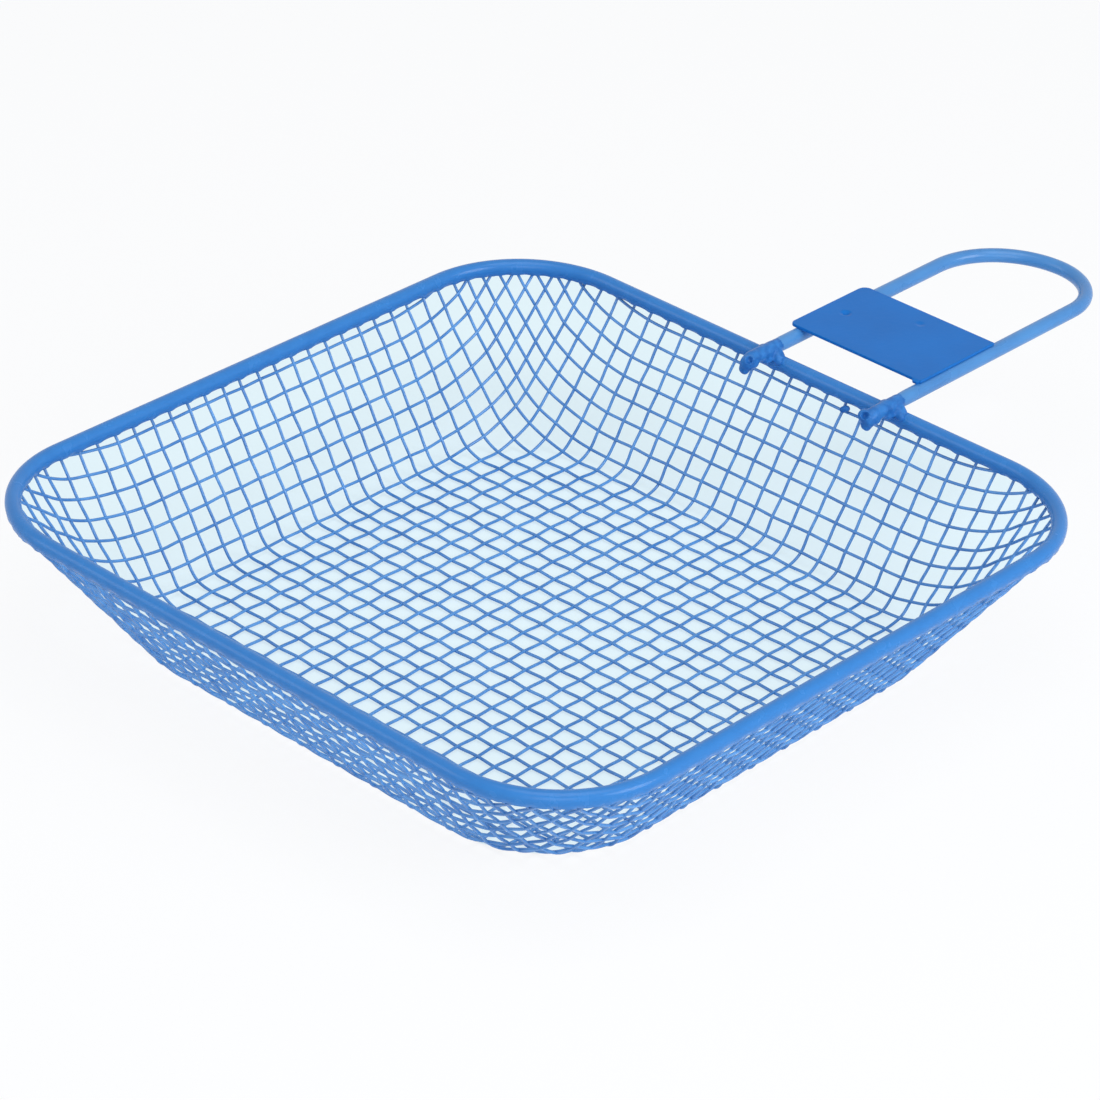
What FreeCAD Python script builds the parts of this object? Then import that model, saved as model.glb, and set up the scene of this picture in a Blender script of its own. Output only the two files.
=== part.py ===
import FreeCAD, Part
import math
import os
import Sketcher
from FreeCAD import Vector

# A rigid leaf skimmer: a square tray of woven wire cloth, hemmed by a folded sheet channel
# round a stiffening wire, with a wire loop handle that lies over the rim and carries a thumb plate.
# Origin: centre of the tray, at the underside of its floor. +Z is up, the handle points along +X.

doc = FreeCAD.newDocument("leaf_skimmer")

# Driving dimensions, in millimetres and degrees
SIZES = [
    ("tray_side", 250.0, "outside of the rim, flat to flat"),
    ("tray_depth", 50.0, "underside of the floor to the top of the rim"),
    ("rim_corner_radius", 42.0, "outside of the rim, seen from above"),
    ("floor_side", 187.0, "fold to fold, across the floor"),
    ("floor_corner_radius", 38.0, "fold line at the floor's corners"),
    ("fold_width", 5.0, "plan width of the rounded fold between floor and wall"),
    ("rim_width", 5.0, "folded rim, across its roll"),
    ("rim_height", 4.9, "folded rim, top of the roll to the hem's edge"),
    ("rim_sheet", 0.6, "thickness of the folded strip"),
    ("rim_fit_gap", 0.3, "strip to stiffening wire, and stiffening wire to cloth"),
    ("hem_gap", 0.45, "crimped edge of the strip to the cloth"),
    ("butt_gap", 0.4, "slit where the strip's two ends meet"),
    ("mesh_pitch", 7.5, "wire to wire on the flat floor"),
    ("mesh_wire", 0.9, "thickness of a cloth wire with its coat"),
    ("mesh_gap", 0.1, "between the two layers of wires where they cross"),
    ("edge_row_gap", 3.4, "hem's edge to the first wire that runs along it"),
    ("wall_row_count", 8, "wires that run along each wall, below the hem"),
    ("handle_wire", 4.2, "thickness of the handle's wire with its coat"),
    ("leg_spacing", 50.0, "centre to centre of the two legs"),
    ("handle_shift", -12.5, "middle of the handle from the middle of its side, along Y"),
    ("handle_reach", 111.2, "outside of the rim to the loop's far centre line"),
    ("far_bend_radius", 28.6, "centre line of the far leg's bend; the near one takes the rest"),
    ("leg_inset", 12.5, "outside of the rim to where a leg turns down inside the tray"),
    ("tip_bend_radius", 4.0, "centre line of the turned-down tip"),
    ("tip_bend_angle", 60.0, "degrees by which the tip turns down"),
    ("seat_gap", 0.1, "handle wire to rim, filled at the welds"),
    ("weld_width", 4.6, "weld beads, across the rim"),
    ("weld_reach", 4.4, "weld beads, from the leg's middle outwards"),
    ("weld_rise", 1.9, "weld beads, above the rim"),
    ("weld_sink", 1.2, "weld beads, down the sides of the rim"),
    ("plate_start", 12.0, "outside of the rim to the plate's near edge"),
    ("plate_length", 37.5, "plate, along the legs"),
    ("plate_sheet", 0.8, "thickness of the plate"),
    ("plate_seat_gap", 0.1, "plate to handle wire, filled at the spot welds"),
    ("plate_over_near", 0.3, "plate's edge beyond the near leg's centre line"),
    ("plate_over_far", 3.4, "plate's edge beyond the far leg's centre line"),
    ("plate_corner_radius", 3.0, "the plate's two far corners, seen from above"),
    ("dimple_radius", 1.3, "spot-weld mark in the plate"),
    ("dimple_depth", 0.35, "spot-weld mark in the plate"),
    ("dimple_from_edge", 20.0, "spot-weld mark, from the plate's near edge"),
    ("dimple_from_leg", 3.4, "spot-weld mark, from the centre line of the leg beside it"),
]

sheet = doc.addObject("Spreadsheet::Sheet", "Sizes")
for row, (alias, value, note) in enumerate(SIZES, start=1):
    sheet.set(f"A{row}", alias)
    sheet.set(f"B{row}", str(value))
    sheet.set(f"C{row}", note)
    sheet.setAlias(f"B{row}", alias)
doc.recompute()


def size(alias):
    return float(sheet.get(alias))


# Sizes that several pieces share
half_side = size("tray_side") / 2
rim_top = size("tray_depth")
roll_radius = size("rim_width") / 2
roll_level = rim_top - roll_radius
hem_level = rim_top - size("rim_height")
rim_line = half_side - roll_radius
rim_line_radius = size("rim_corner_radius") - roll_radius
stiffener_radius = roll_radius - size("rim_sheet") - size("rim_fit_gap")
layer_offset = (size("mesh_wire") + size("mesh_gap")) / 2
cloth_level = size("mesh_wire") + size("mesh_gap") / 2
kept = []


def keep(piece, label):
    piece.Label = label
    kept.append(piece)
    return piece


def plane_of(body, role):
    return next(item for item in body.Origin.OriginFeatures if item.Role == role)


# The cloth's middle surface: a flat floor, walls that slope out, rounded corners.
# Each level of the wall is a rounded square, and "climb" runs from 0 at the floor's fold
# to 1 at the hem.

floor_half = size("floor_side") / 2
floor_radius = size("floor_corner_radius")
wall_run = rim_line - floor_half
wall_rise = hem_level - cloth_level
wall_slope = math.hypot(wall_run, wall_rise)
blend = size("fold_width") / 2 / wall_run


def climb_at(x, y):
    x, y = abs(x), abs(y)
    flat = (max(x, y) - floor_half) / wall_run
    centre = floor_half - floor_radius
    centre_rate = (rim_line - rim_line_radius) - centre
    radius_rate = rim_line_radius - floor_radius
    if min(x, y) <= centre + centre_rate * flat:
        return flat
    # The corner: find the level whose corner arc passes through this point
    a = 2 * centre_rate**2 - radius_rate**2
    b = -2 * centre_rate * (x + y - 2 * centre) - 2 * floor_radius * radius_rate
    c = (x - centre)**2 + (y - centre)**2 - floor_radius**2
    root = math.sqrt(max(b * b - 4 * a * c, 0.0))
    climbs = [(-b - root) / (2 * a), (-b + root) / (2 * a)]
    # The right root has the point on the corner's outer side
    for climb in sorted(climbs):
        level_centre = centre + centre_rate * climb
        if x >= level_centre - 1e-9 and y >= level_centre - 1e-9:
            if floor_radius + radius_rate * climb >= 0:
                return climb
    return flat


def cloth_point(x, y):
    climb = climb_at(x, y)
    if climb >= blend:
        eased = climb
    elif climb > -blend:
        eased = (climb + blend)**2 / (4 * blend)
    else:
        eased = 0.0
    return Vector(x, y, cloth_level + wall_rise * eased)


def cloth_normal(x, y):
    step = 0.05
    along_x = cloth_point(x + step, y) - cloth_point(x - step, y)
    along_y = cloth_point(x, y + step) - cloth_point(x, y - step)
    return along_x.cross(along_y).normalize()


# The cloth is woven flat and pressed, so its wires keep their spacing and shear in the corners.
# Crossings are laid out for one quarter of the tray: first along the two middle wires, then
# each new crossing from its two neighbours, one spacing away from each.

def wire_places(first):
    """Distances of the wires from the middle, measured along the cloth."""
    pitch = size("mesh_pitch")
    places = [first]
    while places[-1] + pitch < floor_half - size("fold_width") / 2:
        places.append(places[-1] + pitch)
    run = floor_half + wall_slope - size("edge_row_gap") - places[-1]
    rows = round(size("wall_row_count"))
    return places, [places[-1] + run * (n + 1) / rows for n in range(rows)]


def out_along(distance):
    """Plan distance from the middle of a point at this distance along the cloth."""
    if distance <= floor_half:
        return distance
    return floor_half + (distance - floor_half) * wall_run / wall_slope


def next_crossing(side_x, side_y, gap_x, gap_y, guess):
    """The crossing at gap_x from side_x and gap_y from side_y, on the cloth."""
    x, y = guess
    for _ in range(40):
        here = cloth_point(x, y)
        miss_x = (here - side_x).Length - gap_x
        miss_y = (here - side_y).Length - gap_y
        if abs(miss_x) + abs(miss_y) < 1e-7:
            break
        step = 1e-4
        moved_x = cloth_point(x + step, y)
        moved_y = cloth_point(x, y + step)
        xx = ((moved_x - side_x).Length - gap_x - miss_x) / step
        xy = ((moved_y - side_x).Length - gap_x - miss_x) / step
        yx = ((moved_x - side_y).Length - gap_y - miss_y) / step
        yy = ((moved_y - side_y).Length - gap_y - miss_y) / step
        det = xx * yy - xy * yx
        if abs(det) < 1e-9:
            break
        dx = (-miss_x * yy + miss_y * xy) / det
        dy = (-miss_y * xx + miss_x * yx) / det
        limit = max(1.0, math.hypot(dx, dy) / (gap_x / 3))
        x += dx / limit
        y += dy / limit
    return x, y


floor_x, wall_x = wire_places(0.0)
floor_y, wall_y = wire_places(size("mesh_pitch") / 2)
places_x = floor_x + wall_x
places_y = floor_y + wall_y
crossings = {}
for i, far_x in enumerate(places_x):
    for j, far_y in enumerate(places_y):
        if j == 0 or i == 0:
            crossings[i, j] = (out_along(far_x), out_along(far_y))
            continue
        before_x = crossings.get((i - 1, j))
        before_y = crossings.get((i, j - 1))
        corner = crossings.get((i - 1, j - 1))
        if not (before_x and before_y and corner):
            continue
        guess = (before_x[0] + before_y[0] - corner[0], before_x[1] + before_y[1] - corner[1])
        crossings[i, j] = next_crossing(
            cloth_point(*before_x), cloth_point(*before_y),
            far_x - places_x[i - 1], far_y - places_y[j - 1], guess)
        if climb_at(*crossings[i, j]) > 1.25:
            del crossings[i, j]


STRAIGHT_ENOUGH = 0.15


def half_run(points):
    """Plan points of half a wire, from the tray's middle line to the hem."""
    run = []
    for x, y in points:
        if climb_at(x, y) >= 1:
            last_x, last_y = run[-1]
            low, high = 0.0, 1.0
            for _ in range(40):
                middle = (low + high) / 2
                at = (last_x + (x - last_x) * middle, last_y + (y - last_y) * middle)
                if climb_at(*at) < 1:
                    low = middle
                else:
                    high = middle
            run.append((last_x + (x - last_x) * high, last_y + (y - last_y) * high))
            return run
        run.append((x, y))
    # A wire that stops short of the hem carries on in its last direction
    (ax, ay), (bx, by) = run[-2], run[-1]
    reach = 3.0
    return half_run(run + [(bx + (bx - ax) * reach, by + (by - ay) * reach)])


def with_folds(run):
    """Add points where the run passes the rounded fold, and drop points on straight stretches."""
    fine = []
    for (ax, ay), (bx, by) in zip(run, run[1:]):
        climb_a, climb_b = climb_at(ax, ay), climb_at(bx, by)
        fine.append((ax, ay))
        for mark in (-blend, blend):
            if climb_a < mark < climb_b:
                share = (mark - climb_a) / (climb_b - climb_a)
                fine.append((ax + (bx - ax) * share, ay + (by - ay) * share))
    fine.append(run[-1])
    thin = [fine[0]]
    for at, after in zip(fine[1:], fine[2:]):
        before = cloth_point(*thin[-1])
        here = cloth_point(*at)
        chord = cloth_point(*after) - before
        off = (here - before).cross(chord).Length / chord.Length
        if off > STRAIGHT_ENOUGH:
            thin.append(at)
    thin.append(fine[-1])
    return thin


def wire_solid(run, side, along_x):
    """One cloth wire: a square bar swept through the points of its run, both halves of the tray."""
    half = size("mesh_wire") / 2
    if along_x:
        mirrored = [(-x, y) for x, y in reversed(run)]
    else:
        mirrored = [(x, -y) for x, y in reversed(run)]
    if mirrored[-1] == run[0]:
        mirrored = mirrored[:-1]
    plan = mirrored + run
    # The wire ends upright inside the folded strip, below the stiffening wire
    stub = roll_level - stiffener_radius - size("rim_fit_gap") - hem_level
    spine = [cloth_point(x, y) + cloth_normal(x, y) * side * layer_offset for x, y in plan]
    across = []
    normals = [cloth_normal(x, y) for x, y in plan]
    for n, (x, y) in enumerate(plan):
        before = spine[max(n - 1, 0)]
        after = spine[min(n + 1, len(spine) - 1)]
        across.append((after - before).cross(normals[n]).normalize())
    for end, neighbour in ((0, 1), (-1, -2)):
        outward = Vector(normals[end].x, normals[end].y, 0).normalize() * -1
        foot = cloth_point(*plan[end]) - outward * side * layer_offset
        head = foot + Vector(0, 0, stub)
        spine[end] = foot
        normals[end] = (normals[end] - outward).normalize()
        if end == 0:
            spine.insert(0, head)
            normals.insert(0, -outward)
            across.insert(0, across[0])
        else:
            spine.append(head)
            normals.append(-outward)
            across.append(across[-1])
    sections = []
    for centre, normal, sideways in zip(spine, normals, across):
        corners = [centre + sideways * a * half + normal * b * half
                   for a, b in ((-1, -1), (1, -1), (1, 1), (-1, 1))]
        sections.append(Part.makePolygon(corners + corners[:1]))
    return Part.makeLoft(sections, True, True)


def cloth_wire(label, run, side, along_x):
    """A wire and its mirror image on the other side of the tray share one node."""
    solids = [wire_solid(run, side, along_x)]
    away = run[0][1] if along_x else run[0][0]
    if away > 1e-6:
        other = [(x, -y) for x, y in run] if along_x else [(-x, y) for x, y in run]
        solids.append(wire_solid(other, side, along_x))
    piece = doc.addObject("Part::Feature", label)
    piece.Shape = Part.makeCompound(solids)
    piece.Placement = FreeCAD.Placement()
    return keep(piece, label)


for i, far_x in enumerate(places_x):
    column = [crossings[i, j] for j in range(len(places_y)) if (i, j) in crossings]
    column = [(column[0][0], 0.0)] + column
    cloth_wire(f"cross_wire_{i:02d}", with_folds(half_run(column)), -1, False)
for j, far_y in enumerate(places_y):
    line = [crossings[i, j] for i in range(len(places_x)) if (i, j) in crossings]
    cloth_wire(f"long_wire_{j + 1:02d}", with_folds(half_run(line)), 1, True)


# The rim: a strip folded over a round stiffening wire and crimped on to the cloth's edge.
# One side and one corner are made from the same section and repeated four times.

HIDDEN_WIRE_FLATS = 8
HIDDEN_BORE_FLATS = 4


def hook(sketch, first, first_end, second, second_end):
    sketch.addConstraint(Sketcher.Constraint("Coincident", first, first_end, second, second_end))


def measure(sketch, kind, name, formula, *place):
    """A named dimension of the sketch, bound to the sheet."""
    index = sketch.addConstraint(Sketcher.Constraint(kind, *place))
    sketch.renameConstraint(index, name)
    sketch.setExpression(f"Constraints.{name}", formula)


def draw_stiffener(sketch):
    """The stiffening wire, drawn with flats because it is hidden all round."""
    turns = [2 * math.pi * n / HIDDEN_WIRE_FLATS for n in range(HIDDEN_WIRE_FLATS)]
    points = [Vector(math.cos(a), math.sin(a), 0) * stiffener_radius for a in turns]
    ring = sketch.addGeometry(Part.Circle(Vector(), Vector(0, 0, 1), stiffener_radius), True)
    hook(sketch, ring, 3, -1, 1)
    measure(sketch, "Radius", "wire", "Sizes.rim_width / 2 - Sizes.rim_sheet - Sizes.rim_fit_gap",
            ring, stiffener_radius)
    lines = [sketch.addGeometry(Part.LineSegment(point, following))
             for point, following in zip(points, points[1:] + points[:1])]
    for line, following in zip(lines, lines[1:] + lines[:1]):
        hook(sketch, line, 2, following, 1)
        sketch.addConstraint(Sketcher.Constraint("PointOnObject", line, 2, ring))
    for line in lines[1:]:
        sketch.addConstraint(Sketcher.Constraint("Equal", lines[0], line))
    sketch.addConstraint(Sketcher.Constraint("PointOnObject", lines[0], 1, -1))


def draw_strip(sketch):
    """The strip's section: an upturned U whose two flanges lean in to the cloth."""
    outer = roll_radius
    inner = roll_radius - size("rim_sheet")
    hem_inner = layer_offset + size("mesh_wire") / 2 + size("hem_gap")
    hem_outer = hem_inner + size("rim_sheet")
    drop = size("rim_height") - roll_radius
    roll = sketch.addGeometry(
        Part.ArcOfCircle(Part.Circle(Vector(), Vector(0, 0, 1), outer), 0, math.pi))
    bore = sketch.addGeometry(
        Part.ArcOfCircle(Part.Circle(Vector(), Vector(0, 0, 1), inner), 0, math.pi), True)
    for arch, name, formula in ((roll, "roll", "Sizes.rim_width / 2"),
                                (bore, "bore", "Sizes.rim_width / 2 - Sizes.rim_sheet")):
        hook(sketch, arch, 3, -1, 1)
        measure(sketch, "Radius", name, formula, arch, outer if arch == roll else inner)
        for end in (1, 2):
            sketch.addConstraint(Sketcher.Constraint("PointOnObject", arch, end, -1))
    # The hidden inside of the roll is drawn with flats
    turns = [math.pi * n / HIDDEN_BORE_FLATS for n in range(HIDDEN_BORE_FLATS + 1)]
    corners = [Vector(math.cos(a), math.sin(a), 0) * inner for a in turns]
    inside = [sketch.addGeometry(Part.LineSegment(corner, following))
              for corner, following in zip(corners, corners[1:])]
    for line, following in zip(inside, inside[1:]):
        hook(sketch, line, 2, following, 1)
        sketch.addConstraint(Sketcher.Constraint("PointOnObject", line, 2, bore))
        sketch.addConstraint(Sketcher.Constraint("Equal", inside[0], following))
    hook(sketch, inside[0], 1, bore, 1)
    hook(sketch, inside[-1], 2, bore, 2)
    for hand, end in ((1, 1), (-1, 2)):
        side = "right" if hand > 0 else "left"
        skin = sketch.addGeometry(
            Part.LineSegment(Vector(hand * outer, 0, 0), Vector(hand * hem_outer, -drop, 0)))
        edge = sketch.addGeometry(Part.LineSegment(
            Vector(hand * hem_outer, -drop, 0), Vector(hand * hem_inner, -drop, 0)))
        lining = sketch.addGeometry(
            Part.LineSegment(Vector(hand * hem_inner, -drop, 0), Vector(hand * inner, 0, 0)))
        hook(sketch, roll, end, skin, 1)
        hook(sketch, skin, 2, edge, 1)
        hook(sketch, edge, 2, lining, 1)
        hook(sketch, lining, 2, bore, end)
        sketch.addConstraint(Sketcher.Constraint("Horizontal", edge))
        measure(sketch, "DistanceY", f"drop_{side}", "Sizes.rim_width / 2 - Sizes.rim_height",
                -1, 1, edge, 1, -drop)
        measure(sketch, "DistanceX", f"sheet_{side}", "Sizes.rim_sheet",
                *((edge, 2, edge, 1) if hand > 0 else (edge, 1, edge, 2)), size("rim_sheet"))
        measure(sketch, "DistanceX", f"hem_{side}",
                "Sizes.mesh_wire + Sizes.mesh_gap / 2 + Sizes.hem_gap",
                *((-1, 1, edge, 2) if hand > 0 else (edge, 2, -1, 1)), hem_inner)


def section_sketch(body, label, draw, along):
    """A section on the rim's centre line; along is its place on the side, a formula."""
    sketch = body.newObject("Sketcher::SketchObject", label)
    sketch.AttachmentSupport = (plane_of(body, "XZ_Plane"), "")
    sketch.MapMode = "FlatFace"
    sketch.setExpression("AttachmentOffset.Base.x", "Sizes.tray_side / 2 - Sizes.rim_width / 2")
    sketch.setExpression("AttachmentOffset.Base.y", "Sizes.tray_depth - Sizes.rim_width / 2")
    sketch.setExpression("AttachmentOffset.Base.z", f"-({along})")
    draw(sketch)
    return sketch


def rim_ring(label, draw):
    """A rounded square ring: one side padded, one corner revolved, both repeated four times."""
    body = doc.addObject("PartDesign::Body", f"{label}_body")
    reach = "(Sizes.tray_side / 2 - Sizes.rim_corner_radius)"
    side = body.newObject("PartDesign::Pad", f"{label}_side")
    side.Profile = section_sketch(body, f"{label}_side_section", draw, "0")
    side.Midplane = True
    side.setExpression("Length", f"2 * {reach}")
    sketch = section_sketch(body, f"{label}_corner_section", draw, reach)
    pivot = sketch.addGeometry(Part.LineSegment(
        Vector(-rim_line_radius, -1, 0), Vector(-rim_line_radius, 1, 0)), True)
    sketch.addConstraint(Sketcher.Constraint("Vertical", pivot))
    measure(sketch, "DistanceX", "pivot", "Sizes.rim_corner_radius - Sizes.rim_width / 2",
            pivot, 1, -1, 1, rim_line_radius)
    corner = body.newObject("PartDesign::Revolution", f"{label}_corner")
    corner.Profile = sketch
    corner.ReferenceAxis = (sketch, ["Axis0"])
    corner.Angle = 90
    pattern = body.newObject("PartDesign::PolarPattern", f"{label}_round")
    pattern.Originals = [side, corner]
    pattern.Axis = (plane_of(body, "Z_Axis"), [""])
    pattern.Angle = 360
    pattern.Occurrences = 4
    body.Tip = pattern
    doc.recompute()
    return body


strip = rim_ring("strip", draw_strip)
slit = doc.addObject("Part::Box", "butt_slit")
slit.setExpression("Length", "Sizes.rim_width * 3")
slit.setExpression("Width", "Sizes.butt_gap")
slit.setExpression("Height", "Sizes.rim_height * 2")
slit.setExpression("Placement.Base.x", "-Sizes.tray_side / 2 - Sizes.rim_width")
slit.setExpression("Placement.Base.y", "-Sizes.butt_gap / 2")
slit.setExpression("Placement.Base.z", "Sizes.tray_depth - Sizes.rim_height * 1.5")
rim_channel = doc.addObject("Part::Cut", "rim_channel")
rim_channel.Base = strip
rim_channel.Tool = slit
keep(rim_channel, "rim_channel")
keep(rim_ring("stiffener", draw_stiffener), "rim_stiffener")


# The handle: one wire bent to a loop, whose two legs lie over the rim and turn down inside it

wire_radius = size("handle_wire") / 2
leg_level = rim_top + size("seat_gap") + wire_radius
LEG_LEVEL = "Sizes.tray_depth + Sizes.seat_gap + Sizes.handle_wire / 2"
TIP_X = "Sizes.tray_side / 2 - Sizes.leg_inset"
LOOP_END_X = "Sizes.tray_side / 2 + Sizes.handle_reach"
FAR_BEND = "Sizes.far_bend_radius"
NEAR_BEND = "(Sizes.leg_spacing - Sizes.far_bend_radius)"
QUARTER = "90"


def place_at(item, x, y, z):
    for axis, formula in zip("xyz", (x, y, z)):
        item.setExpression(f"Placement.Base.{axis}", formula)


def bent_bar(label, bend_radius, angle, turn):
    """A stretch of the handle's wire, bent to an arc."""
    arc = doc.addObject("Part::Torus", label)
    arc.setExpression("Radius1", bend_radius)
    arc.setExpression("Radius2", "Sizes.handle_wire / 2")
    arc.setExpression("Angle3", angle)
    arc.Placement.Rotation = turn
    return arc


stretches = []
for name, sign, back, bend, first in (("near", "-", "+", NEAR_BEND, -90),
                                      ("far", "+", "-", FAR_BEND, 0)):
    leg_y = f"Sizes.handle_shift {sign} Sizes.leg_spacing / 2"
    corner = bent_bar(f"bend_{name}", bend, QUARTER, FreeCAD.Rotation(Vector(0, 0, 1), first))
    place_at(corner, f"{LOOP_END_X} - {bend}", f"{leg_y} {back} {bend}", LEG_LEVEL)
    leg = doc.addObject("Part::Cylinder", f"leg_{name}")
    leg.setExpression("Radius", "Sizes.handle_wire / 2")
    leg.setExpression("Height", f"{LOOP_END_X} - {bend} - ({TIP_X})")
    leg.Placement.Rotation = FreeCAD.Rotation(Vector(0, 1, 0), 90)
    place_at(leg, TIP_X, leg_y, LEG_LEVEL)
    # The tip's arc starts on top and turns down towards the middle of the tray
    tip = bent_bar(f"tip_{name}", "Sizes.tip_bend_radius", "Sizes.tip_bend_angle",
                   FreeCAD.Rotation(Vector(0, 0, 1), Vector(-1, 0, 0), Vector(0, -1, 0), "ZXY"))
    place_at(tip, TIP_X, leg_y, f"{LEG_LEVEL} - Sizes.tip_bend_radius")
    stretches += [corner, leg, tip]
handle_loop = doc.addObject("Part::MultiFuse", "handle_loop")
handle_loop.Shapes = stretches
keep(handle_loop, "handle_loop")
doc.recompute()


# Weld beads in the four notches between the legs and the rim

WELD_FLATS = 16

def bar_along(direction, centre, radius):
    """A bar with flats just outside the round one that it stands for."""
    length = size("weld_width") * 4
    ahead = Vector(0, 0, 1)
    aside = direction.cross(ahead)
    reach = radius / math.cos(math.pi / WELD_FLATS)
    turns = [2 * math.pi * (n + 0.5) / WELD_FLATS for n in range(WELD_FLATS)]
    ring = [centre - direction * (length / 2) + (aside * math.cos(a) + ahead * math.sin(a)) * reach
            for a in turns]
    return Part.Face(Part.makePolygon(ring + ring[:1])).extrude(direction * length)


def bead_block(place, hand):
    """A bead's outside before it is trimmed: a low hump, highest beside the leg."""
    half = size("weld_width") / 2
    top = size("weld_rise")
    foot = size("weld_sink")
    sections = []
    for away, high, wide in ((0, top, 0.75), (0.45, top * 0.8, 0.9), (1, 0, 0.6)):
        y = place.y + hand * away * size("weld_reach")
        sections.append(Part.makePolygon([
            Vector(place.x - half, y, place.z - foot), Vector(place.x + half, y, place.z - foot),
            Vector(place.x + half * wide, y, place.z + high),
            Vector(place.x - half * wide, y, place.z + high),
            Vector(place.x - half, y, place.z - foot)]))
    return Part.makeLoft(sections, True, True)


beads = []
for leg_sign in (-1, 1):
    leg_y = size("handle_shift") + leg_sign * size("leg_spacing") / 2
    for hand in (-1, 1):
        place = Vector(rim_line, leg_y + hand * size("seat_gap"), rim_top)
        leg = bar_along(Vector(1, 0, 0), Vector(rim_line, leg_y, leg_level), wire_radius)
        roll = bar_along(Vector(0, 1, 0), Vector(rim_line, place.y, roll_level), roll_radius)
        bead = bead_block(place, hand).cut([leg, roll])
        beads.append(max(bead.Solids, key=lambda solid: solid.Volume))
welds = doc.addObject("Part::Feature", "handle_welds")
welds.Shape = Part.makeCompound(beads)
welds.Placement = FreeCAD.Placement()
keep(welds, "handle_welds")


# The thumb plate: a flat sheet that lies on the legs. Its near edge ends on top of the near leg
# and its far edge stands out past the far one.

PLATE_LEVEL = "Sizes.tray_depth + Sizes.seat_gap + Sizes.handle_wire + Sizes.plate_seat_gap"
PLATE_X = "Sizes.tray_side / 2 + Sizes.plate_start"
blank = doc.addObject("Part::Box", "plate_blank")
blank.setExpression("Length", "Sizes.plate_length")
blank.setExpression("Width", "Sizes.leg_spacing + Sizes.plate_over_near + Sizes.plate_over_far")
blank.setExpression("Height", "Sizes.plate_sheet")
place_at(blank, PLATE_X,
         "Sizes.handle_shift - Sizes.leg_spacing / 2 - Sizes.plate_over_near", PLATE_LEVEL)
doc.recompute()
rounded = doc.addObject("Part::Fillet", "plate_rounded")
rounded.Base = blank
corner_radius = size("plate_corner_radius")
rounded.Edges = [(number, corner_radius, corner_radius)
                 for number, edge in enumerate(blank.Shape.Edges, start=1)
                 if edge.BoundBox.ZLength > edge.BoundBox.DiagonalLength / 2
                 and edge.CenterOfMass.y > size("handle_shift")]

# One spot-weld mark shows in its top
marker = doc.addObject("Part::Sphere", "dimple_tool")
ball = "(Sizes.dimple_radius ^ 2 + Sizes.dimple_depth ^ 2) / (2 * Sizes.dimple_depth)"
marker.setExpression("Radius", ball)
place_at(marker, f"{PLATE_X} + Sizes.dimple_from_edge",
         "Sizes.handle_shift + Sizes.leg_spacing / 2 - Sizes.dimple_from_leg",
         f"{PLATE_LEVEL} + Sizes.plate_sheet - Sizes.dimple_depth + {ball}")
thumb_plate = doc.addObject("Part::Cut", "thumb_plate_pressed")
thumb_plate.Base = rounded
thumb_plate.Tool = marker
keep(thumb_plate, "thumb_plate")


# Check every object, then write one STEP file for each piece

doc.recompute()
for item in doc.Objects:
    if "Invalid" in item.State or "Error" in item.State:
        raise RuntimeError(f"{item.Label} did not build: {item.State}")
os.makedirs("parts", exist_ok=True)
for piece in kept:
    shape = piece.Shape
    if shape.isNull() or not shape.isValid() or not shape.Solids:
        raise RuntimeError(f"{piece.Label} is not a sound solid")
    box = shape.BoundBox
    print(f"{piece.Label}: {len(shape.Solids)} solids, {shape.Volume:.1f} mm3, "
          f"{box.XLength:.1f} x {box.YLength:.1f} x {box.ZLength:.1f} mm")
    shape.exportStep(os.path.join("parts", f"{piece.Label}.step"))
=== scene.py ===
# %% [markdown]
# # A leaf skimmer tray in wire cloth
#
# The object is a square tray pressed from woven wire cloth. A strip of sheet is folded over the
# cloth's edge, a wire loop makes the handle, and a thick glossy blue coat covers all of it.
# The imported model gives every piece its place. This notebook gives the pieces the shapes and
# finishes that the eye expects: round woven wires, a crimped rim, a coat that pools in corners.

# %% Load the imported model
import math
import random

import bmesh
import bpy
from mathutils import Matrix, Vector, noise


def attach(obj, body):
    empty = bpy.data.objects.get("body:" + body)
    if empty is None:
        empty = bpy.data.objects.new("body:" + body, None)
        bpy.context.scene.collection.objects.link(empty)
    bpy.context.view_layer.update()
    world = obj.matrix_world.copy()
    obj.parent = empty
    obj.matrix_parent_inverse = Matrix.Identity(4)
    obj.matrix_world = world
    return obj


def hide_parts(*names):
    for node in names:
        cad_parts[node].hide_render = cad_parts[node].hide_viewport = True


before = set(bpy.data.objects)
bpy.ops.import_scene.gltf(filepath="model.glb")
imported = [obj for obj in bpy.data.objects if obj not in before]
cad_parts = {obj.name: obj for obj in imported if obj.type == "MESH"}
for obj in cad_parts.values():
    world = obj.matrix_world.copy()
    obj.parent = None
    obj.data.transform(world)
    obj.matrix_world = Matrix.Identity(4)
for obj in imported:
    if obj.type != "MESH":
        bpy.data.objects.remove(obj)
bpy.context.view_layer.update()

# %% [markdown]
# ## The camera
#
# The photograph is a product shot from well over a metre away, so its lines converge only a
# little. A long lens gives that look. The camera stands to the left of the handle and about 31
# degrees above the tray, and it is rolled a little. Its place was found by fitting the rim's
# outline and the floor's crossings, so it is written here as a target, two angles, a distance
# and a roll.

# %% Camera
MM = 0.001
AZIMUTH = math.radians(-48.36)
ELEVATION = math.radians(30.72)
ROLL = math.radians(2.63)
DISTANCE = 1311.8 * MM
TARGET = Vector((-19.7, -22.8, 50.0)) * MM
FOCAL_PIXELS = 4465.0
IMAGE_PIXELS = 1100.0


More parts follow.
